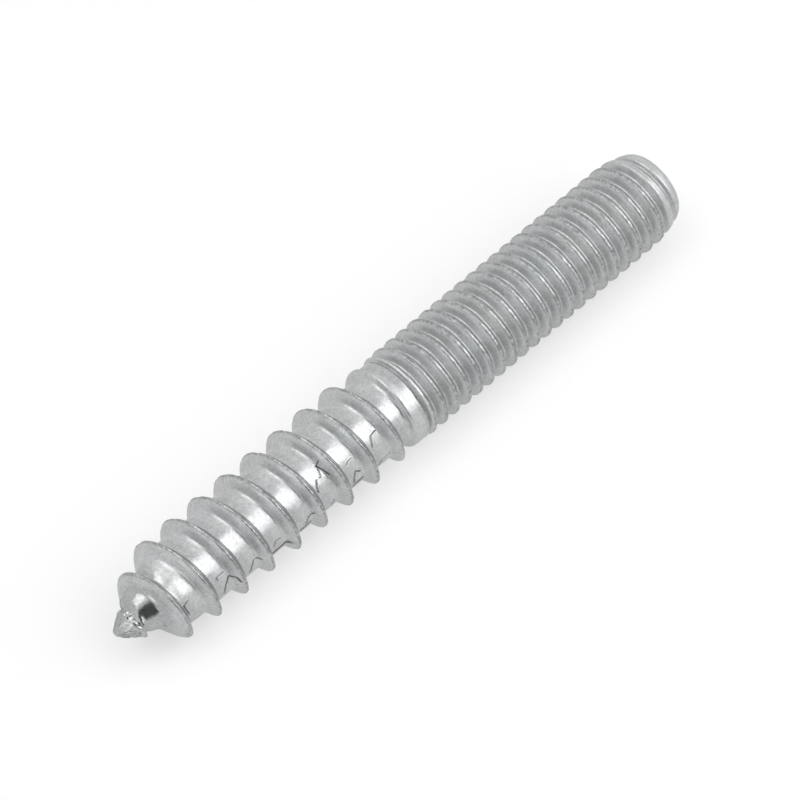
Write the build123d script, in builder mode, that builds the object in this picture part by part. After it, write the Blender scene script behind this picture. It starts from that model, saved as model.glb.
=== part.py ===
from build123d import *
from math import cos, exp, radians, sin, tan
import os

# A hanger bolt: a rolled wood (lag) thread with a pinched point at one end, a short plain collar,
# and a metric machine thread at the other. It is one piece of steel, lying along X with its point
# at -X, and it rests on the crests of the wood thread. Lengths are in mm, angles in degrees.

# Whole bolt
wood_length = 28.2  # point to collar
collar_length = 1.8
machine_length = 27.46  # collar to end face

# Machine end: M8, rolled a little under size and left plain at its crest; its 1.25 mm thread is not cut
machine_diameter = 7.62
machine_shoulder = 0.3  # cone between the collar and the machine end
machine_lead_length = 2.6  # long cone at the end, where a nut is started
machine_end_diameter = 6.25

# Collar between the two threads
collar_diameter = 7.28
collar_ramp_length = 1.8  # cone from the wood thread's root up to the collar

# Wood thread
wood_crest_diameter = 8.02
wood_root_diameter = 6.2
wood_pitch = 2.741
wood_crest_width = 0.14
wood_flank_angle = 30  # from square to the axis
wood_bell_slope = 0.9  # how much the first turn's front flank leans back, so that it forms a bell
wood_bell_turns = 0.6  # turns over which that lean fades
wood_start = 1.8  # where the ridge begins, from the point
wood_end_past_collar = 0.5  # how far the sinking ridge runs on into the collar
wood_start_diameter = 2.75
wood_lead_turns = 1.7  # turns over which the crest climbs to its full diameter
wood_runout_turns = 0.9  # turns over which it sinks into the collar
wood_runout_depth = 0.8
wood_crest_angle = 151.4  # angle of the crest from +Y towards +Z, at the middle of the bolt

# Point: the core tapers to a small pinched nib
point_length = 5.0
nib_length = 1.8
nib_end_diameter = 0.6
nib_base_diameter = 3.0
nib_neck_length = 0.2  # the step between the nib and the core's cone
nib_neck_diameter = 3.7

# How finely the ridge is built, and how deep its foot is sunk into the core
sections_per_turn = 12
ridge_foot_depth = 0.55

# Places along the bolt, from the point
bolt_length = wood_length + collar_length + machine_length
wood_end = wood_length + wood_end_past_collar
wood_turns = (wood_end - wood_start) / wood_pitch
machine_start = wood_length + collar_length

# The bolt's own frame: its origin at the point, X along the bolt, and Y its radius in a profile
bolt_frame = Plane(origin=(-bolt_length / 2, 0, wood_crest_diameter / 2), x_dir=(1, 0, 0), z_dir=(0, 0, 1))
bolt_axis = Axis(bolt_frame.origin, bolt_frame.x_dir)

# The core's outline as (place, radius), from the point to the plain machine end
core_outline = [
    (0, nib_end_diameter / 2),
    (nib_length, nib_base_diameter / 2),
    (nib_length + nib_neck_length, nib_neck_diameter / 2),
    (point_length, wood_root_diameter / 2),
    (wood_length - collar_ramp_length, wood_root_diameter / 2),
    (wood_length, collar_diameter / 2),
    (machine_start, collar_diameter / 2),
    (machine_start + machine_shoulder, machine_diameter / 2),
    (bolt_length - machine_lead_length, machine_diameter / 2),
    (bolt_length, machine_end_diameter / 2),
]


def core_radius(place):
    """The core's radius at a place along the bolt."""
    for (start, first), (end, last) in zip(core_outline, core_outline[1:]):
        if place <= end:
            return first + (last - first) * (place - start) / (end - start)
    return core_outline[-1][1]


def crest_radius(turn):
    """The ridge's crest, which climbs out of the nib, stays level and sinks into the collar."""
    start_radius = wood_start_diameter / 2
    climbed = min(1, turn / wood_lead_turns)
    radius = start_radius + (wood_crest_diameter / 2 - start_radius) * (1 - (1 - climbed) ** 3)
    sunk = max(0, 1 - (wood_turns - turn) / wood_runout_turns)
    return radius - wood_runout_depth * sunk**2


def ridge_stretch(first_turn, last_turn):
    """One stretch of the wood thread's ridge, lofted through its sections, with its foot in the core."""
    steps = sections_per_turn
    with BuildPart() as stretch:
        for step in range(steps + 1):
            turn = first_turn + (last_turn - first_turn) * step / steps
            place = wood_start + turn * wood_pitch
            angle = radians(wood_crest_angle + 360 * (place - bolt_length / 2) / wood_pitch)
            around = Vector(0, -sin(angle), cos(angle))
            crest = crest_radius(turn)
            foot = min(crest, core_radius(place)) - ridge_foot_depth
            half_crest = wood_crest_width / 2
            flank_slope = tan(radians(wood_flank_angle))
            front_slope = flank_slope + wood_bell_slope * exp(-turn / wood_bell_turns)
            front_foot = half_crest + (crest - foot) * front_slope
            back_foot = half_crest + (crest - foot) * flank_slope
            middle = bolt_frame.origin + Vector(place, 0, 0)
            with BuildSketch(Plane(origin=middle, x_dir=(1, 0, 0), z_dir=around)):
                with BuildLine():
                    Polyline(
                        (-front_foot, foot),
                        (-half_crest, crest),
                        (half_crest, crest),
                        (back_foot, foot),
                        close=True,
                    )
                make_face()
        loft()
    return stretch.part


stretches = round(wood_turns + 0.5)
ridge = [
    ridge_stretch(wood_turns * index / stretches, wood_turns * (index + 1) / stretches)
    for index in range(stretches)
]

with BuildPart() as hanger_bolt:
    with BuildSketch(bolt_frame):
        with BuildLine():
            Polyline((0, 0), *core_outline, (bolt_length, 0), close=True)
        make_face()
    revolve(axis=bolt_axis)
    add(ridge)

hanger_bolt.part.label = "hanger_bolt"
os.makedirs("parts", exist_ok=True)
export_step(hanger_bolt.part, "parts/hanger_bolt.step")
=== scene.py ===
import math

import bmesh
import bpy
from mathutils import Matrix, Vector, noise


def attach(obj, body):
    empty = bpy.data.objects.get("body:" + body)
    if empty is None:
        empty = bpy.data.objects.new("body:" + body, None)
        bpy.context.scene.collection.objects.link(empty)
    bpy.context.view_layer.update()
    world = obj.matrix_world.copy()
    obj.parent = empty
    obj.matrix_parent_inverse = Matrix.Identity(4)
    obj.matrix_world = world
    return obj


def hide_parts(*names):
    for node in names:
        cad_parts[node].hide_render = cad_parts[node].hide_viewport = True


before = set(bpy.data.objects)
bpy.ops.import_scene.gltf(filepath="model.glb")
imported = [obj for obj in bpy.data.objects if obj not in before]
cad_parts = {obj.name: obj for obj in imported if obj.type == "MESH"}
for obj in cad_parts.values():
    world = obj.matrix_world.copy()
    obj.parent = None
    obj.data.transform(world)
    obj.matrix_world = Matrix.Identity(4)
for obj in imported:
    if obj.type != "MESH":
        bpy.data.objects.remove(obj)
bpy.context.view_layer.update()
scene = bpy.context.scene
mm = 0.001

# the camera looks down over the point's end of the bolt, from a little to its left
cameraView = {
    "place": (-0.139211, -0.141630, 0.315955),
    "forward": (0.378034, 0.382041, -0.843288),
    "lens": 218.76,
}


def addCamera(view):
    data = bpy.data.cameras.new("mainCamera")
    data.lens = view["lens"]
    data.sensor_width = 36
    data.clip_start = 0.01
    data.clip_end = 20
    camera = bpy.data.objects.new("mainCamera", data)
    scene.collection.objects.link(camera)
    camera.location = view["place"]
    camera.rotation_euler = Vector(view["forward"]).to_track_quat("-Z", "Y").to_euler()
    scene.camera = camera


addCamera(cameraView)
print("camera placed")


def clamp(value, low=0.0, high=1.0):
    return max(low, min(high, value))


def smoothStep(value, start, end):
    t = clamp((value - start) / (end - start))
    return t * t * (3 - 2 * t)


def window(place, rise, fall):
    # 1 between two places, with soft ends
    return smoothStep(place, *rise) * (1 - smoothStep(place, *fall))


def readAlong(points, place):
    # straight-line reading of a list of (place, value)
    if place <= points[0][0]:
        return points[0][1]
    for (start, first), (end, last) in zip(points, points[1:]):
        if place <= end:
            return first + (last - first) * (place - start) / (end - start)
    return points[-1][1]


def softMax(a, b, width):
    return 0.5 * (a + b + math.sqrt((a - b) ** 2 + width * width))


def softMin(a, b, width):
    return 0.5 * (a + b - math.sqrt((a - b) ** 2 + width * width))


def lumps(spot, height, size, seed):
    # smooth noise up to this height either way, with lumps about this many mm across
    return height * noise.noise(spot / size + Vector((seed, seed * 0.37, -seed)))


def nicks(spot, depth, spread, size, seed):
    # dents where the noise, raised by how far they spread, is above zero
    return depth * max(0, lumps(spot, 1, size, seed) + spread)


# lengths are mm from the point, and angles are degrees from +Y towards +Z
steel = {
    "length": 57.46,
    "middle": 28.73,
    "axisHeight": 4.01,
    "outermost": 4.007,
    "rowsPerTurn": 22,
    "stepsPerTurn": 112,
    # faces with at least this many sides are the flat caps at the ends
    "capSides": 20,
    # wood thread: its phase is how far round, in turns, a crest passes the bolt's middle
    "woodPitch": 2.741,
    "woodPhase": 144.2 / 360,
    "woodEnd": 28.6,
    "woodLand": 0.015,
    "woodRounding": 0.13,
    "woodFlank": math.tan(math.radians(31)),
    "woodBackFlank": math.tan(math.radians(23)),
    "woodFillet": 0.12,
    # the ridge counts its turns from its start, and rises out of the core a little behind that
    "woodStart": 1.8,
    "woodLeadIn": -0.6,
    "ridgeRise": (1.88, 2.12),
    # the ridge's crest as it climbs from the nib: (turns from its start, radius)
    "woodClimb": (
        (-1, 1.2), (0, 1.375), (0.25, 2.35), (0.52, 3.06), (0.77, 3.62), (1.02, 3.85),
        (1.3, 3.95), (1.6, 4.004),
    ),
    # where the wood thread's last turn sinks: (place, depth)
    "runout": (
        (25.8, 0.0), (26.6, 0.10), (27.5, 0.16), (27.9, 0.30), (28.2, 0.42), (28.7, 0.8), (30, 1.4),
    ),
    # on its first turn the front flank is steeper and then rounder: at how many turns from its
    # start, over how many, and by how much
    "steepMiddle": 0.75,
    "steepTurns": 0.2,
    "steepShare": 0.5,
    "bellRounding": 0.45,
    "bellMiddle": 1.05,
    "bellTurns": 0.20,
    "bellFade": (3.4, 4.4),
    # machine thread
    "machinePitch": 1.25,
    "machinePhase": 243.0 / 360,
    "machineStart": 29.6,
    "machineCrest": 3.81,
    "machineRoot": 3.08,
    "machineLand": 0.05,
    "machineRounding": 0.11,
    "machineFlank": math.tan(math.radians(30)),
    "machineBackFlank": math.tan(math.radians(26)),
    "machineFillet": 0.13,
    "machineDeepening": (28.95, 29.8),
    # the outermost radius from the collar to the machine end: (place, radius)
    "endEnvelope": (
        (29.0, 3.58), (29.2, 3.64), (29.5, 3.78), (29.8, 3.81), (54.4, 3.81), (55.2, 3.74),
        (55.8, 3.58), (56.4, 3.42), (57.0, 3.22), (57.3, 3.04), (57.46, 2.86),
    ),
    "endRounding": 0.03,
    # the end face is a shallow dish inside a flat rim: (share of the radius kept, step inwards)
    "endSteps": ((0.90, 0.0), (0.90, 0.06), (0.4, 0.04)),
    # the collar sits a little off the axis
    "collar": 3.58,
    "collarShift": 0.08,
    "collarShiftAngle": 204,
    "collarSpan": ((27.9, 28.2), (29.0, 29.6)),
    "shoulderSpan": ((27.45, 27.7), (27.95, 28.3)),
    # how far along half a pitch each row of the mesh lies, from the crest to mid root
    "nibRows": (0, 0.02, 0.045, 0.08, 0.12, 0.165, 0.21, 0.26, 0.31, 0.37, 0.435, 0.5),
    "woodRows": (0, 0.013, 0.024, 0.038, 0.065, 0.13, 0.195, 0.225, 0.248, 0.275, 0.38, 0.5),
    "collarRows": (0, 0.045, 0.091, 0.136, 0.182, 0.227, 0.273, 0.318, 0.364, 0.409, 0.455, 0.5),
    "machineRows": (0, 0.03, 0.05, 0.075, 0.105, 0.15, 0.22, 0.30, 0.375, 0.415, 0.455, 0.5),
    # which of them a turn takes: (the first turn that is past it, rows)
    "rowKinds": ((-8, "nibRows"), (0, "woodRows"), (1, "collarRows"), (math.inf, "machineRows")),
    # the core's radius from the nib to the collar: (place, radius)
    "core": (
        (0, 0.20), (0.06, 0.30), (0.40, 0.55), (0.80, 0.86), (1.20, 1.12), (1.50, 1.34),
        (1.66, 1.40), (1.80, 1.36), (1.98, 1.54), (2.15, 1.64), (3.2, 2.08), (3.6, 2.25),
        (4.08, 2.50), (4.5, 2.82), (4.8, 2.95), (5.4, 3.06), (6.0, 3.10), (27.4, 3.10),
        (27.62, 3.14), (27.88, 3.55), (28.0, 3.62), (28.14, 3.52), (28.3, 3.57), (29.6, 3.58),
    ),
    # the step behind the nib slants: how far it leans, and where it lies furthest forward
    "nibSlant": 0.41,
    "nibSlantAngle": 266,
    "nibSlantSpan": ((0.3, 1.3), (3.1, 4.2)),
    # behind the first crest the core fills out earlier on one side
    "coreTwist": 0.5,
    "coreTwistAngle": 150,
    "coreTwistSpan": ((3.0, 3.6), (5.2, 6.0)),
    # the nib sits off the axis: (place, shift)
    "nibShift": ((0, 0.05), (0.8, 0.18), (1.7, 0.42), (1.95, 0.0)),
    "nibShiftAngle": 204,
    # lumps in the surface, all read at one radius: (height, size across, seed)
    "lumpRadius": 3.3,
    "nibLumps": ((0.13, 0.45, 3), (0.078, 0.22, 9)),
    "nibLumpSpan": ((0.1, 0.5), (1.3, 1.65)),
    "rootLumps": (0.030, 0.95, 1),
    "woodFlankLumps": (0.008, 0.33, 2),
    "machineLumps": (0.008, 0.30, 8),
    # heights above the root where the wood thread's root ends and its flank begins
    "rootHeights": (0.02, 0.2),
    # how much smoother the root is on the first turns
    "bellSmoothing": 0.8,
    # nicks: (depth, how far they spread, size across, seed), and the heights or places they start at
    "woodNicks": (0.10, 0.05, 0.45, 5),
    "woodNickHeights": (0.70, 0.88),
    "woodNickEnd": (27.4, 28.2),
    "machineNicks": (0.05, 0.1, 0.30, 6),
    "machineNickHeights": (0.5, 0.68),
    "startNicks": (0.05, 0.0, 0.25, 7),
    "startNickSpan": ((29.2, 29.5), (30.0, 31.2)),
    # a faint raised line along the root: its height, place in the turn, width and breaks
    "rollLine": 0.014,
    "rollLinePlace": 0.56,
    "rollLineWidth": 0.10,
    "rollLineShare": 0.5,
    "rollLineBreaks": (1.4, 1.1, 4),
    # heights at which the flanks turn dull, on the thread and, further up, on its first turns
    "dullHeight": 0.003,
    "bellDullHeights": (0.15, 0.5),
    "nibDullSpan": (1.2, 1.5),
    "backFlankDull": 0.5,
    "machineDull": 0.85,
    "machineDullHeights": (0.02, 0.10),
    # heights at which the crests are worn bright, and how much of their dullness that takes off
    "woodWorn": (0.78, 0.86),
    "woodPolish": 0.75,
    "machineWorn": (0.64, 0.69),
    "machinePolish": 0.85,
}

# rolled-in laps near the foot of the wood thread: (depth mm, half-width mm, points as (place, angle))
# each lap is sunk into the mesh, and its colour is darkened there with painted shade
laps = (
    (0.045, 0.045, ((4.82, 169), (4.75, 160), (4.65, 149), (5.1, 146))),
    (0.05, 0.04, ((7.97, 153), (7.96, 148), (8.69, 147))),
    (0.08, 0.055, ((8.24, 184), (8.44, 171), (8.93, 158), (9.3, 162), (9.47, 171))),
    (0.07, 0.045, ((10.88, 189), (11.07, 177), (11.36, 166), (11.7, 167), (11.93, 172))),
    (0.08, 0.20, ((13.20, 190), (14.00, 190), (14.75, 187))),
    (0.05, 0.04, ((13.39, 174), (13.65, 166), (14.15, 167))),
    (0.08, 0.17, ((16.20, 190), (16.7, 190), (17.1, 188))),
    (0.07, 0.045, ((16.69, 181), (17.01, 172), (17.42, 167))),
    (0.08, 0.045, ((18.5, 147), (18.59, 139), (18.86, 131))),
    (0.05, 0.04, ((19.27, 133), (19.43, 123), (19.46, 116), (19.78, 112))),
    (0.05, 0.04, ((19.5, 115), (19.72, 126), (19.88, 135))),
    (0.05, 0.04, ((19.39, 194), (19.62, 179))),
    (0.08, 0.15, ((21.75, 189), (22.6, 187))),
    (0.08, 0.05, ((21.73, 184), (21.8, 170), (22.06, 161), (22.47, 167))),
    (0.05, 0.04, ((21.59, 143), (21.81, 140), (22.2, 139))),
    (0.10, 0.065, ((24.39, 191), (24.61, 182), (25.45, 179))),
    (0.06, 0.045, ((24.15, 148), (24.31, 140), (24.49, 132), (25.05, 130))),
)

lapSettings = {
    # mm; the mesh is cut finer within reach of a lap's edge, and a lap is looked for no further
    # along the bolt than the margin past its ends
    "rootRadius": 3.1,
    "margin": 0.4,
    "reach": 0.16,
    "cuts": 3,
    # how far a lap is felt, and where its raised lip is, in half-widths from its line
    "spread": 4,
    "lipPlace": 2,
    # as a share of the lap's depth
    "lipHeight": 0.25,
    # mm, from which a lap's painted shade is as dark as it gets
    "shadeDepth": 0.055,
}


def woodTurn(x):
    return (x - steel["middle"]) / steel["woodPitch"] + steel["woodPhase"]


def machineTurn(x):
    return (x - steel["middle"]) / steel["machinePitch"] + steel["machinePhase"]


def placeAtTurn(w):
    # the turn count runs on from one thread to the other, and the pitch eases over in the collar
    start, end = steel["woodEnd"], steel["machineStart"]
    first, last = woodTurn(start), machineTurn(end)
    if w <= first:
        return start + (w - first) * steel["woodPitch"]
    if w >= last:
        return end + (w - last) * steel["machinePitch"]
    span = last - first
    t = (w - first) / span
    entry, leaving = steel["woodPitch"] * span, steel["machinePitch"] * span
    eased = t * t * (3 - 2 * t) * (end - start)
    return start + eased + t * (1 - t) ** 2 * entry - t * t * (1 - t) * leaving


def rowPlace(q):
    # spreads the even rows of one turn to where the thread's shape needs them
    whole = math.floor(q + 0.5)
    part = q - whole
    half = steel["rowsPerTurn"] // 2
    place = abs(part) * 2 * half
    index = min(half - 1, int(place + 1e-6))
    rows = steel[next(kind for past, kind in steel["rowKinds"] if whole < past)]
    spot = rows[index] + (rows[index + 1] - rows[index]) * (place - index)
    return whole + math.copysign(spot, part)


def woodRidge(x, q, core):
    # the radius of the wood thread's ridge above a place, from the nearer crests on both sides
    pitch = steel["woodPitch"]
    best = core
    for ridge in (math.floor(q), math.floor(q) + 1):
        d = (q - ridge) * pitch
        turn = (x - d - steel["woodStart"]) / pitch
        if turn < steel["woodLeadIn"]:
            continue
        crest = readAlong(steel["woodClimb"], turn)
        crest -= readAlong(steel["runout"], x - d)
        rounding = steel["woodRounding"]
        flank = steel["woodBackFlank"]
        if d < 0:
            bell = (turn - steel["bellMiddle"]) / steel["bellTurns"]
            rounding += steel["bellRounding"] * math.exp(-(bell ** 2))
            steep = (turn - steel["steepMiddle"]) / steel["steepTurns"]
            flank = steel["woodFlank"] * (1 - steel["steepShare"] * math.exp(-(steep ** 2)))
        away = max(0, abs(d) - steel["woodLand"])
        drop = (math.sqrt(away * away + rounding * rounding) - rounding) / flank
        best = softMax(best, crest - drop, steel["woodFillet"])
    return core + (best - core) * smoothStep(x, *steel["ridgeRise"])


def coreRadius(x, angle):
    slant = math.cos(angle - math.radians(steel["nibSlantAngle"])) * window(x, *steel["nibSlantSpan"])
    twist = math.cos(angle - math.radians(steel["coreTwistAngle"])) * window(x, *steel["coreTwistSpan"])
    return readAlong(steel["core"], x - steel["nibSlant"] * slant + steel["coreTwist"] * twist)


def woodRadius(x, spot, q):
    # the radius at a place, how dull it is and how worn
    core = coreRadius(x, math.atan2(spot.z, spot.y))
    r = woodRidge(x, q, core)
    height = r - core
    rough = window(x, *steel["nibLumpSpan"])
    r += rough * sum(lumps(spot, *kind) for kind in steel["nibLumps"])
    crestness = smoothStep(height, *steel["woodNickHeights"]) * (1 - smoothStep(x, *steel["woodNickEnd"]))
    r -= crestness * nicks(spot, *steel["woodNicks"])
    root = 1 - smoothStep(height, *steel["rootHeights"])
    bell = 1 - smoothStep(x, *steel["bellFade"])
    r += root * lumps(spot, *steel["rootLumps"]) * (1 - rough) * (1 - steel["bellSmoothing"] * bell)
    r += (1 - root) * lumps(spot, *steel["woodFlankLumps"])
    fromLine = (q - math.floor(q) - steel["rollLinePlace"]) * steel["woodPitch"]
    unbroken = clamp(steel["rollLineShare"] + lumps(spot, *steel["rollLineBreaks"]))
    r += steel["rollLine"] * root * unbroken * math.exp(-(fromLine / steel["rollLineWidth"]) ** 2)
    # the root is bright, the flanks and the nib's base are dull, and so is the shoulder
    first, last = steel["bellDullHeights"]
    dull = smoothStep(height, first * bell, steel["dullHeight"] + last * bell)
    dull = max(dull, rough * smoothStep(x, *steel["nibDullSpan"]))
    if 0 < q - math.floor(q) < 0.5:
        dull *= steel["backFlankDull"]
    dull = max(dull, window(x, *steel["shoulderSpan"]))
    worn = smoothStep(height, *steel["woodWorn"])
    return r, dull * (1 - steel["woodPolish"] * worn), worn


def machineRadius(x, spot, q):
    d = (q - round(q)) * steel["machinePitch"]
    rounding = steel["machineRounding"]
    away = max(0, abs(d) - steel["machineLand"])
    flank = steel["machineFlank"] if d < 0 else steel["machineBackFlank"]
    drop = (math.sqrt(away * away + rounding * rounding) - rounding) / flank
    depth = smoothStep(x, *steel["machineDeepening"])
    root = steel["collar"] + (steel["machineRoot"] - steel["collar"]) * depth
    r = softMax(steel["machineCrest"] - drop, root, steel["machineFillet"])
    r = softMin(r, readAlong(steel["endEnvelope"], x), steel["endRounding"])
    height = r - root
    r -= smoothStep(height, *steel["machineNickHeights"]) * nicks(spot, *steel["machineNicks"])
    # the first turns are rougher
    r -= window(x, *steel["startNickSpan"]) * nicks(spot, *steel["startNicks"])
    r += lumps(spot, *steel["machineLumps"])
    groove = 1 - smoothStep(height, *steel["machineDullHeights"])
    dull = 1 - (1 - steel["machineDull"]) * groove
    worn = smoothStep(height, *steel["machineWorn"])
    return r, dull * (1 - steel["machinePolish"] * worn), worn


def lapDistance(x, angle, points):
    # distance in mm from a lap's line, on the surface unrolled at the root
    perDegree = math.radians(lapSettings["rootRadius"])
    best = math.inf
    for (x0, a0), (x1, a1) in zip(points, points[1:]):
        ux, uy = x1 - x0, (a1 - a0) * perDegree
        px, py = x - x0, (angle - a0) * perDegree
        t = clamp((px * ux + py * uy) / (ux * ux + uy * uy))
        best = min(best, math.hypot(px - t * ux, py - t * uy))
    return best


def degreesAround(co):
    return math.degrees(math.atan2(co.z, co.y)) % 360


def cutLap(bm, layer, depth, width, points):
    # cuts the mesh finer along a lap, sinks it there with a raised lip on both sides, and marks its
    # painted shade
    kit = lapSettings
    places = [place for place, _ in points]
    low, high = min(places) - kit["margin"], max(places) + kit["margin"]

    def away(co):
        return lapDistance(co.x, degreesAround(co), points) if low < co.x < high else math.inf

    reach = kit["reach"] + width
    sides = steel["capSides"]
    faces = [f for f in bm.faces if len(f.verts) < sides and away(f.calc_center_median()) < reach]
    edges = {e for f in faces for e in f.edges}
    bmesh.ops.subdivide_edges(bm, edges=list(edges), cuts=kit["cuts"], use_grid_fill=True)
    for v in bm.verts:
        distance = away(v.co) / width
        if distance >= kit["spread"]:
            continue
        sunk = math.exp(-(distance ** 2))
        lip = math.exp(-((distance - kit["lipPlace"]) ** 2))
        out = Vector((0, v.co.y, v.co.z)).normalized()
        v.co += out * (kit["lipHeight"] * lip - sunk) * depth
        # the mask for the lap's painted shade: darkest where the lap is sunk deepest
        v[layer] = max(v[layer], sunk * clamp(depth / kit["shadeDepth"]))


def windThread(bm):
    # one straight line of rows, wound once round the axis with a pitch of one, makes every turn
    steps, rows = steel["stepsPerTurn"], steel["rowsPerTurn"]
    firstTurn = math.floor(woodTurn(0)) - 2
    lastTurn = math.ceil(machineTurn(steel["length"])) + 1
    ends = [bm.verts.new((firstTurn, 1, 0)), bm.verts.new((lastTurn, 1, 0))]
    line = bm.edges.new(ends)
    bmesh.ops.subdivide_edges(bm, edges=[line], cuts=(lastTurn - firstTurn) * rows - 1)
    bmesh.ops.spin(
        bm, geom=bm.verts[:] + bm.edges[:], cent=(0, 0, 0), axis=(1, 0, 0),
        dvec=(1 / steps, 0, 0), angle=2 * math.pi, steps=steps, use_merge=False, use_duplicate=False,
    )
    bmesh.ops.remove_doubles(bm, verts=bm.verts, dist=0.002)


def shapeThread(bm):
    # moves each wound vertex to its place along the bolt and its radius there
    steps, rows = steel["stepsPerTurn"], steel["rowsPerTurn"]
    flow = bm.verts.layers.float_vector.new("threadFlow")
    dull = bm.verts.layers.float.new("dull")
    worn = bm.verts.layers.float.new("worn")
    collarMiddle = (steel["woodEnd"] + steel["machineStart"]) / 2
    nibSide = math.radians(steel["nibShiftAngle"])
    nibOut = Vector((0, math.cos(nibSide), math.sin(nibSide)))
    for v in bm.verts:
        turn = math.atan2(v.co.z, v.co.y) / (2 * math.pi)
        turn = round(turn * steps) / steps
        angle = turn * 2 * math.pi
        q = rowPlace(round((v.co.x - turn) * rows) / rows)
        w = q + turn
        x = placeAtTurn(w)
        across = Vector((0, math.cos(angle), math.sin(angle)))
        spot = Vector((x, 0, 0)) + steel["lumpRadius"] * across
        form = woodRadius if x < collarMiddle else machineRadius
        r, v[dull], v[worn] = form(x, spot, q)
        lean = window(x, *steel["collarSpan"])
        r += steel["collarShift"] * lean * math.cos(angle - math.radians(steel["collarShiftAngle"]))
        v.co = Vector((x, 0, 0)) + min(r, steel["outermost"]) * across
        v.co += readAlong(steel["nibShift"], x) * nibOut
        v[flow] = (math.cos(2 * math.pi * q), math.sin(2 * math.pi * q), w)


def closeEnds(bm):
    length = steel["length"]
    for place, side in ((0.0, -1), (length, 1)):
        bmesh.ops.bisect_plane(
            bm, geom=bm.verts[:] + bm.edges[:] + bm.faces[:], plane_co=(place, 0, 0),
            plane_no=(side, 0, 0), clear_outer=True, dist=1e-5,
        )
    print("shaped", len(bm.verts), "vertices")
    for place in (0.0, length):
        rim = [e for e in bm.edges if e.is_boundary and abs(e.verts[0].co.x - place) < 1e-4]
        bmesh.ops.holes_fill(bm, edges=rim, sides=0)
    endFace = max(bm.faces, key=lambda f: (f.calc_center_median().x, len(f.verts)))
    for share, depth in steel["endSteps"]:
        endFace = bmesh.ops.extrude_discrete_faces(bm, faces=[endFace])["faces"][0]
        bmesh.ops.scale(bm, verts=endFace.verts, vec=(1, share, share))
        bmesh.ops.translate(bm, verts=endFace.verts, vec=(-depth, 0, 0))


def makeSteel():
    bm = bmesh.new()
    windThread(bm)
    print("wound", len(bm.verts), "vertices")
    shapeThread(bm)
    closeEnds(bm)
    lapShadeLayer = bm.verts.layers.float.new("lap")
    for depth, width, points in laps:
        cutLap(bm, lapShadeLayer, depth, width, points)
    bmesh.ops.recalc_face_normals(bm, faces=bm.faces)
    bmesh.ops.translate(bm, verts=bm.verts, vec=(-steel["middle"], 0, steel["axisHeight"]))
    bmesh.ops.scale(bm, verts=bm.verts, vec=(mm, mm, mm))
    for face in bm.faces:
        face.smooth = len(face.verts) < steel["capSides"]
    triangles = sum(len(f.verts) - 2 for f in bm.faces)
    print("open edges", sum(not e.is_manifold for e in bm.edges), "triangles", triangles)
    mesh = bpy.data.meshes.new("hangerBoltSteel")
    bm.to_mesh(mesh)
    bm.free()
    piece = bpy.data.objects.new("hangerBoltSteel", mesh)
    scene.collection.objects.link(piece)
    return piece


hangerBolt = makeSteel()
print("bolt shaped")

zinc = {
    # colours of the bright root and the dull flanks, and tints over them
    "rootColour": (0.412, 0.4155, 0.417),
    "dullColour": (0.51, 0.514, 0.516),
    "coolTint": (0.975, 0.995, 1.0),
    "lapPaintedShade": (0.05, 0.05, 0.05),
    "edgeTint": (0.9, 0.9, 0.9, 1),
    "metallic": 0.92,
    "rootRoughness": 0.22,
    "dullRoughness": 0.35,
    "machineRoughness": 0.06,
    "lapRoughness": 0.2,
    # mm across
    "mottleSize": 1.1,
    "tintSize": 3.5,
    "grainSize": 0.20,
    "pitSize": 0.35,
    "scuffAndShadeSize": 0.30,
    # the part of each noise that shows
    "mottleRange": (0.3, 0.7),
    "tintRange": (0.35, 0.65),
    "grainRange": (0.25, 0.75),
    "pitRange": (0.66, 0.74),
    "scuffAndShadeRange": (0.4, 0.6),
    "streakRange": (0.3, 0.7),
    # how dark or pale each makes the colour, from its least to its most
    "mottleShades": (0.90, 1.06),
    "grainShades": (-0.17, 0.17),
    "streakShades": (0.95, 1.04),
    "scuffAndCrestShades": (0.0, 0.35),
    "pitShade": 0.22,
    "mottleRoughness": (-0.04, 0.05),
    # mm high
    "grainHeight": 0.008,
    "streakHeight": 0.004,
    # how much coarser the grain is where a crest is worn
    "wornGrain": 4,
    # streaks are fine across the thread and long along it
    "streakStretch": (4.0, 4.0, 1.4),
    "streakScale": 1.6,
    # where the machine thread starts, in metres along X
    "machineSide": (0.0004, 0.0012),
}


class Nodes:
    # a few short ways to add and link shader nodes

    def __init__(self, tree):
        self.tree = tree

    def add(self, kind, values=None, **settings):
        made = self.tree.nodes.new("ShaderNode" + kind)
        for name, value in settings.items():
            setattr(made, name, value)
        for socket, value in (values or {}).items():
            if isinstance(value, bpy.types.NodeSocket):
                self.tree.links.new(value, made.inputs[socket])
            else:
                made.inputs[socket].default_value = value
        return made

    def maths(self, operation, a, b):
        return self.add("Math", {0: a, 1: b}, operation=operation).outputs[0]

    def noise(self, where, size, detail=3.0, roughness=0.5):
        values = {"Vector": where, "Scale": 1 / (size * mm), "Detail": detail, "Roughness": roughness}
        return self.add("TexNoise", values).outputs[0]

    def spread(self, value, low, high, first=0.0, last=1.0):
        values = {"Value": value, "From Min": low, "From Max": high, "To Min": first, "To Max": last}
        return self.add("MapRange", values).outputs[0]

    def mixColour(self, factor, a, b):
        made = self.add("Mix", data_type="RGBA")
        for socket, value in ((0, factor), (6, a), (7, b)):
            if isinstance(value, bpy.types.NodeSocket):
                self.tree.links.new(value, made.inputs[socket])
            else:
                made.inputs[socket].default_value = value if socket == 0 else tuple(value) + (1,)
        return made.outputs[2]

    def darken(self, shade, where, share):
        left = self.maths("SUBTRACT", 1.0, self.maths("MULTIPLY", where, share))
        return self.maths("MULTIPLY", shade, left)

    def attribute(self, name):
        return self.add("Attribute", attribute_name=name)


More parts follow.
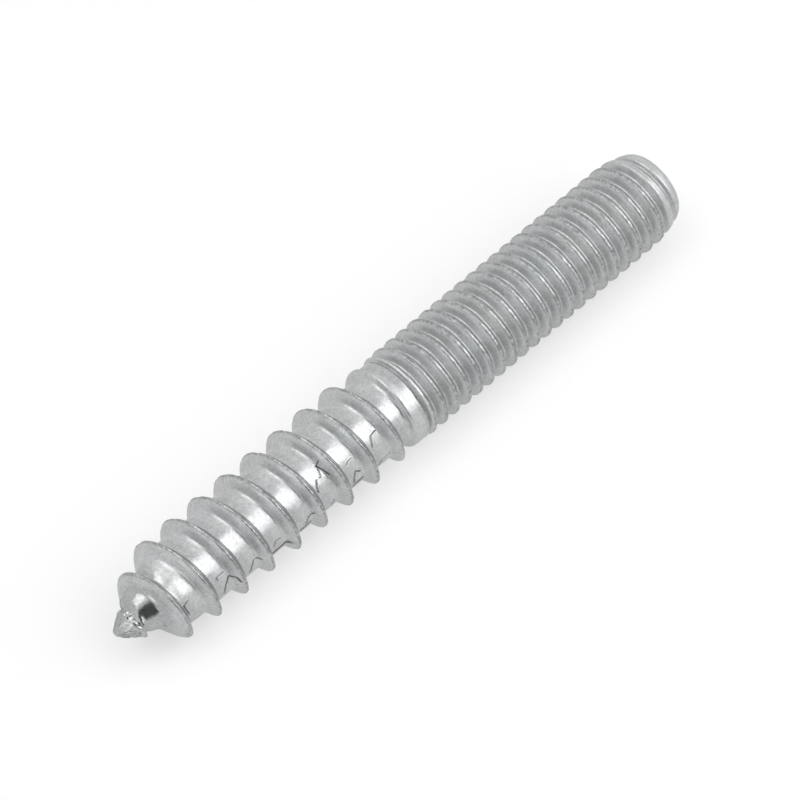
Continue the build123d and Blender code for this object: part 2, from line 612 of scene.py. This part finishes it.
def makeZinc(look):
    material = bpy.data.materials.new("brightZincPlate")
    material.use_nodes = True
    n = Nodes(material.node_tree)
    shader = material.node_tree.nodes["Principled BSDF"]
    where = n.add("TexCoord").outputs["Object"]
    dull = n.attribute("dull").outputs["Fac"]
    lap = n.attribute("lap").outputs["Fac"]
    flow = n.attribute("threadFlow").outputs["Vector"]

    mottle = n.noise(where, look["mottleSize"], 4, 0.6)
    tint = n.noise(where, look["tintSize"], 2)
    grain = n.noise(where, look["grainSize"], 2, 0.6)
    pits = n.spread(n.noise(where, look["pitSize"], 3, 0.6), *look["pitRange"])
    stretched = n.add("VectorMath", {0: flow, 1: look["streakStretch"]}, operation="MULTIPLY").outputs[0]
    streaks = {"Vector": stretched, "Scale": look["streakScale"], "Detail": 3.0}
    streaks = n.add("TexNoise", streaks).outputs[0]
    along = n.spread(n.add("SeparateXYZ", {0: where}).outputs[0], *look["machineSide"])
    worn = n.attribute("worn").outputs["Fac"]

    # colour: a bright root and dull flanks, mottled and pitted, with scuffs and painted shade on worn
    # crests
    colour = n.mixColour(dull, look["rootColour"], look["dullColour"])
    cool = n.mixColour(n.spread(tint, *look["tintRange"]), (1, 1, 1), look["coolTint"])
    colour = n.add("VectorMath", {0: colour, 1: cool}, operation="MULTIPLY").outputs[0]
    shade = n.maths(
        "ADD", n.spread(mottle, *look["mottleRange"], *look["mottleShades"]),
        n.spread(grain, *look["grainRange"], *look["grainShades"]),
    )
    streaky = n.spread(streaks, *look["streakRange"], *look["streakShades"])
    shade = n.maths("MULTIPLY", shade, streaky)
    shade = n.darken(shade, pits, look["pitShade"])
    # worn crests are darkened in speckles: partly scuffs, partly painted shade along the crest line
    scuffsAndShade = n.noise(where, look["scuffAndShadeSize"], 2)
    scuffsAndShade = n.spread(scuffsAndShade, *look["scuffAndShadeRange"], *look["scuffAndCrestShades"])
    shade = n.darken(shade, worn, scuffsAndShade)
    shaded = n.add("VectorMath", {0: colour, "Scale": shade}, operation="SCALE").outputs[0]
    # painted shade: the laps are darkened towards near black
    final = n.mixColour(n.maths("MINIMUM", lap, 1.0), (1, 1, 1), look["lapPaintedShade"])
    final = n.add("VectorMath", {0: shaded, 1: final}, operation="MULTIPLY").outputs[0]
    n.tree.links.new(final, shader.inputs["Base Color"])

    # roughness: the machine thread is rougher than the wood thread, and pits and laps more so
    rough = n.spread(dull, 0, 1, look["rootRoughness"], look["dullRoughness"])
    rough = n.maths("ADD", rough, n.maths("MULTIPLY", along, look["machineRoughness"]))
    rough = n.maths("ADD", rough, n.spread(mottle, *look["mottleRange"], *look["mottleRoughness"]))
    hollow = n.maths("MAXIMUM", pits, lap)
    rough = n.maths("ADD", rough, n.maths("MULTIPLY", hollow, look["lapRoughness"]))
    n.tree.links.new(rough, shader.inputs["Roughness"])
    shader.inputs["Metallic"].default_value = look["metallic"]
    shader.inputs["Specular Tint"].default_value = look["edgeTint"]

    # relief: a fine grain, and streaks that follow the thread round
    coarse = n.spread(worn, 0, 1, 1, look["wornGrain"])
    fine = n.add("Bump", {
        "Strength": 1.0, "Distance": look["grainHeight"] * mm,
        "Height": n.maths("MULTIPLY", grain, coarse),
    })
    lines = n.add("Bump", {
        "Strength": 1.0, "Distance": look["streakHeight"] * mm, "Height": streaks,
        "Normal": fine.outputs[0],
    })
    n.tree.links.new(lines.outputs[0], shader.inputs["Normal"])
    return material


hangerBolt.data.materials.append(makeZinc(zinc))
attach(hangerBolt, "root")
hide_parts("hanger_bolt")
print("bolt finished")

studio = {
    "floorSize": 3.0,
    "floorColour": (0.90, 0.90, 0.90),
    # the share of the floor that is plain white to the eye, and how bright that white is
    "floorGlow": 0.50,
    "floorWhite": 1.10,
    # how bright the room is to the things it lights, and to the eye and in reflections
    "roomLight": 0.32,
    "roomSeen": 1.02,
    # (name, centre, turn in degrees about Y, size, brightness, seen in reflections, lights matt things)
    "softboxes": (
        ("overheadSoftbox", (0.36, -0.162, 0.36), 0, (0.76, 0.17), 1.55, True, True),
        ("frontSoftbox", (0.36, -0.34, 0.36), 0, (0.76, 0.20), 1.75, True, True),
        ("frontSoftboxEdge", (0.24, -0.63, 0.36), 0, (0.52, 0.36), 1.6, True, True),
        ("leftSoftbox", (-0.14, 0.17, 0.36), 0, (0.24, 0.32), 1.55, True, True),
        ("sideSoftbox", (-0.50, -0.05, 0.13), -90, (0.22, 0.13), 1.3, True, False),
        ("topFill", (0.0, 0.0, 0.37), 0, (0.5, 0.26), 1.3, False, True),
    ),
    # a dark card beside the camera, for the metal to mirror: its turn is in degrees about X
    "cardCentre": (-0.185, -0.222, 0.168),
    "cardTurn": 50,
    "cardSize": (0.22, 0.40),
    "cardColour": (0.02, 0.02, 0.02),
}


def seenRays(tree):
    # 1 for what the eye, a mirror or glass sees, and 0 for light
    path = tree.nodes.new("ShaderNodeLightPath")
    last = path.outputs["Is Camera Ray"]
    for kind in ("Is Glossy Ray", "Is Transmission Ray"):
        either = tree.nodes.new("ShaderNodeMath")
        either.operation = "MAXIMUM"
        tree.links.new(last, either.inputs[0])
        tree.links.new(path.outputs[kind], either.inputs[1])
        last = either.outputs[0]
    return last


def stagePlane(name, size, colour):
    mesh = bpy.data.meshes.new(name)
    bm = bmesh.new()
    bmesh.ops.create_grid(bm, x_segments=1, y_segments=1, size=0.5)
    bmesh.ops.scale(bm, verts=bm.verts, vec=(size[0], size[1], 1))
    bm.to_mesh(mesh)
    bm.free()
    plane = bpy.data.objects.new(name, mesh)
    scene.collection.objects.link(plane)
    paint = bpy.data.materials.new(name + "Paint")
    paint.use_nodes = True
    shader = paint.node_tree.nodes["Principled BSDF"]
    shader.inputs["Base Color"].default_value = colour + (1,)
    shader.inputs["Roughness"].default_value = 0.9
    shader.inputs["Specular IOR Level"].default_value = 0.0
    mesh.materials.append(paint)
    return plane, paint.node_tree, shader


def addRoom(kit):
    world = bpy.data.worlds.new("paleRoom")
    world.use_nodes = True
    scene.world = world
    tree = world.node_tree
    back = tree.nodes["Background"]
    back.inputs["Color"].default_value = (1, 1, 1, 1)
    level = tree.nodes.new("ShaderNodeMapRange")
    level.inputs["To Min"].default_value = kit["roomLight"]
    level.inputs["To Max"].default_value = kit["roomSeen"]
    tree.links.new(seenRays(tree), level.inputs["Value"])
    tree.links.new(level.outputs[0], back.inputs["Strength"])


def addFloor(kit):
    side = 2 * kit["floorSize"]
    _, tree, shader = stagePlane("paleFloor", (side, side), kit["floorColour"])
    white = tree.nodes.new("ShaderNodeEmission")
    white.inputs["Strength"].default_value = kit["floorWhite"]
    share = tree.nodes.new("ShaderNodeMath")
    share.operation = "MULTIPLY"
    share.inputs[1].default_value = kit["floorGlow"]
    tree.links.new(seenRays(tree), share.inputs[0])
    both = tree.nodes.new("ShaderNodeMixShader")
    tree.links.new(share.outputs[0], both.inputs[0])
    tree.links.new(shader.outputs[0], both.inputs[1])
    tree.links.new(white.outputs[0], both.inputs[2])
    tree.links.new(both.outputs[0], tree.nodes["Material Output"].inputs["Surface"])


def addDarkCard(kit):
    card, _, _ = stagePlane("darkCard", kit["cardSize"], kit["cardColour"])
    card.location = kit["cardCentre"]
    card.rotation_euler = (math.radians(kit["cardTurn"]), 0, 0)
    card.visible_camera = card.visible_diffuse = card.visible_shadow = False


def addSoftbox(name, centre, turn, size, brightness, mirrored, lights):
    lamp = bpy.data.lights.new(name, "AREA")
    lamp.shape = "RECTANGLE"
    lamp.size, lamp.size_y = size
    lamp.energy = brightness * math.pi * size[0] * size[1]
    box = bpy.data.objects.new(name, lamp)
    scene.collection.objects.link(box)
    box.location = centre
    box.rotation_euler = (0, math.radians(turn), 0)
    box.visible_glossy = mirrored
    box.visible_diffuse = lights


addRoom(studio)
addFloor(studio)
addDarkCard(studio)
for softbox in studio["softboxes"]:
    addSoftbox(*softbox)
scene.view_settings.view_transform = "Standard"
print("studio lit")
